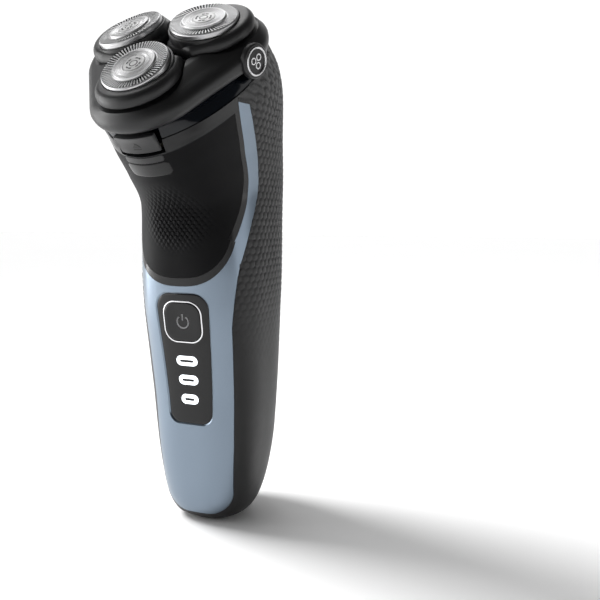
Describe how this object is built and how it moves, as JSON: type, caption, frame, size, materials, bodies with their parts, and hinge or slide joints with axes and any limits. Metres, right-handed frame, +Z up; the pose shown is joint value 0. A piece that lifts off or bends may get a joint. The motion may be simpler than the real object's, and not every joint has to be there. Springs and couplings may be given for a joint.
{
  "type": "electric shaver",
  "caption": "Cordless rotary shaver with round flexing shaving caps on a tilted hinged head, a slim tapering handle, lit window, power button and pop-up trimmer.",
  "frame": {"origin": "centre of the flat base that the shaver stands on", "axes": "+Z up along the handle, -Y towards the front with the power button, +X to the right seen from behind the front"},
  "size_m": [0.0595, 0.0779, 0.1643],
  "materials": {
    "textured_shell": "matte, relief of small scales",
    "blue_panel": "satin metallic",
    "gloss_black": "high gloss",
    "soft_grip": "soft touch",
    "silver_trim": "bright ring",
    "light_guide": "clear, lit white",
    "circuit_board": "solder mask",
    "black_plastic": "moulded",
    "led": "clear",
    "cell_wrap": "shrink wrap",
    "nickel": "plated",
    "contact_brass": "plated",
    "screw_steel": "zinc plated",
    "motor_can": "plated can",
    "pinion_brass": "machined",
    "gear_acetal": "moulded acetal",
    "spindle_plastic": "moulded",
    "seal_rubber": "matte",
    "deck_gloss": "high gloss blue-black",
    "pin_steel": "ground",
    "release_grey": "satin",
    "head_charcoal": "fine matte",
    "cap_steel": "polished and brushed",
    "cutter_steel": "ground",
    "badge_metal": "satin",
    "trimmer_plastic": "moulded",
    "trimmer_steel": "ground"
  },
  "bodies": {
    "handle": {"rear_shell": "textured_shell", "front_panel": "blue_panel", "chin_bezel": "gloss_black", "neck_grip": "soft_grip", "control_window": "gloss_black", "button_ring": "silver_trim", "light_guides": "light_guide", "circuit_board": "circuit_board", "power_switch": "black_plastic", "indicator_leds": "led", "inner_frame": "black_plastic", "battery_cell": "cell_wrap", "battery_tabs": "nickel", "charge_inlet": "black_plastic", "inlet_pins": "contact_brass", "frame_screws": "screw_steel", "motor": "motor_can", "gear_plate": "black_plastic", "gear_axles": "pin_steel", "spindle_seals": "seal_rubber", "drive_deck": "deck_gloss", "head_hinge_pin": "pin_steel", "trimmer_tray": "trimmer_plastic", "trimmer_hinge_pin": "pin_steel"},
    "power_key": {"power_button": "gloss_black"},
    "release_key": {"release_button": "release_grey", "release_spring": "pin_steel"},
    "motor_rotor": {"motor_pinion": "pinion_brass"},
    "drive_1": {"drive_gear_1": "gear_acetal", "drive_spindle_1": "spindle_plastic"},
    "drive_2": {"drive_gear_2": "gear_acetal", "drive_spindle_2": "spindle_plastic"},
    "drive_3": {"drive_gear_3": "gear_acetal", "drive_spindle_3": "spindle_plastic"},
    "head": {"head_housing": "head_charcoal", "side_badge": "badge_metal"},
    "holder_1": {"cap_holder_1": "head_charcoal", "shaving_cap_1": "cap_steel", "retaining_ring_1": "spindle_plastic"},
    "holder_2": {"cap_holder_2": "head_charcoal", "shaving_cap_2": "cap_steel", "retaining_ring_2": "spindle_plastic"},
    "holder_3": {"cap_holder_3": "head_charcoal", "shaving_cap_3": "cap_steel", "retaining_ring_3": "spindle_plastic"},
    "cutting_disc_1": {"cutter_1": "cutter_steel"},
    "cutting_disc_2": {"cutter_2": "cutter_steel"},
    "cutting_disc_3": {"cutter_3": "cutter_steel"},
    "trimmer": {"trimmer_arm": "trimmer_plastic", "trimmer_comb": "trimmer_steel"},
    "trimmer_cutter": {"trimmer_blade": "trimmer_steel"},
    "trimmer_switch": {"trimmer_slider": "trimmer_plastic"}
  },
  "joints": [
    {"name": "power_press", "type": "slide", "parent": "handle", "child": "power_key", "axis": [0, 1, 0], "range_m": [0, 0.0006], "stiffness_N_per_m": 800},
    {"name": "release_press", "type": "slide", "parent": "handle", "child": "release_key", "axis": [0, 0.7431, 0.6691], "range_m": [0, 0.0008], "stiffness_N_per_m": 800},
    {"name": "head_open", "type": "hinge", "parent": "handle", "child": "head", "pos_m": [0, 0.00066, 0.15978], "axis": [-1, 0, 0], "range_deg": [0, 95]},
    {"name": "drive_spin_1", "type": "hinge", "parent": "handle", "child": "drive_1", "pos_m": [0, -0.02582, 0.12867], "axis": [0, -0.6691, 0.7431], "continuous": true},
    {"name": "drive_spin_2", "type": "hinge", "parent": "handle", "child": "drive_2", "pos_m": [0.01212, -0.01022, 0.14272], "axis": [0, -0.6691, 0.7431], "continuous": true},
    {"name": "drive_spin_3", "type": "hinge", "parent": "handle", "child": "drive_3", "pos_m": [-0.01212, -0.01022, 0.14272], "axis": [0, -0.6691, 0.7431], "continuous": true},
    {"name": "motor_spin", "type": "hinge", "parent": "handle", "child": "motor_rotor", "pos_m": [0, -0.01542, 0.13804], "axis": [0, -0.6691, 0.7431], "continuous": true},
    {"name": "head_flex_1", "type": "hinge", "parent": "head", "child": "holder_1", "pos_m": [0, -0.03638, 0.13935], "axis": [1, 0, 0], "range_deg": [-3, 3], "stiffness_Nm_per_rad": 0.2},
    {"name": "head_flex_2", "type": "hinge", "parent": "head", "child": "holder_2", "pos_m": [0.01273, -0.01999, 0.1541], "axis": [-0.5, 0.6436, 0.5795], "range_deg": [-3, 3], "stiffness_Nm_per_rad": 0.2},
    {"name": "head_flex_3", "type": "hinge", "parent": "head", "child": "holder_3", "pos_m": [-0.01273, -0.01999, 0.1541], "axis": [-0.5, -0.6436, -0.5795], "range_deg": [-3, 3], "stiffness_Nm_per_rad": 0.2},
    {"name": "cutter_spin_1", "type": "hinge", "parent": "holder_1", "child": "cutting_disc_1", "pos_m": [0, -0.03972, 0.14306], "axis": [0, -0.7547, 0.6561], "continuous": true},
    {"name": "cutter_spin_2", "type": "hinge", "parent": "holder_2", "child": "cutting_disc_2", "pos_m": [0.01273, -0.02334, 0.15782], "axis": [0.1055, -0.6189, 0.7784], "continuous": true},
    {"name": "cutter_spin_3", "type": "hinge", "parent": "holder_3", "child": "cutting_disc_3", "pos_m": [-0.01273, -0.02334, 0.15782], "axis": [-0.1055, -0.6189, 0.7784], "continuous": true},
    {"name": "trimmer_flip", "type": "hinge", "parent": "handle", "child": "trimmer", "pos_m": [0, 0.0246, 0.082], "axis": [-1, 0, 0], "range_deg": [0, 75]},
    {"name": "trimmer_cut", "type": "slide", "parent": "trimmer", "child": "trimmer_cutter", "axis": [1, 0, 0], "range_m": [-0.0006, 0.0006]},
    {"name": "trimmer_push", "type": "slide", "parent": "handle", "child": "trimmer_switch", "axis": [0, 0, -1], "range_m": [0, 0.004]}
  ],
  "couplings": [
    {"joint": "drive_spin_2", "follows": "drive_spin_1", "ratio": 1},
    {"joint": "drive_spin_3", "follows": "drive_spin_1", "ratio": 1},
    {"joint": "motor_spin", "follows": "drive_spin_1", "ratio": -3},
    {"joint": "cutter_spin_1", "follows": "drive_spin_1", "ratio": 1},
    {"joint": "cutter_spin_2", "follows": "drive_spin_1", "ratio": 1},
    {"joint": "cutter_spin_3", "follows": "drive_spin_1", "ratio": 1}
  ]
}
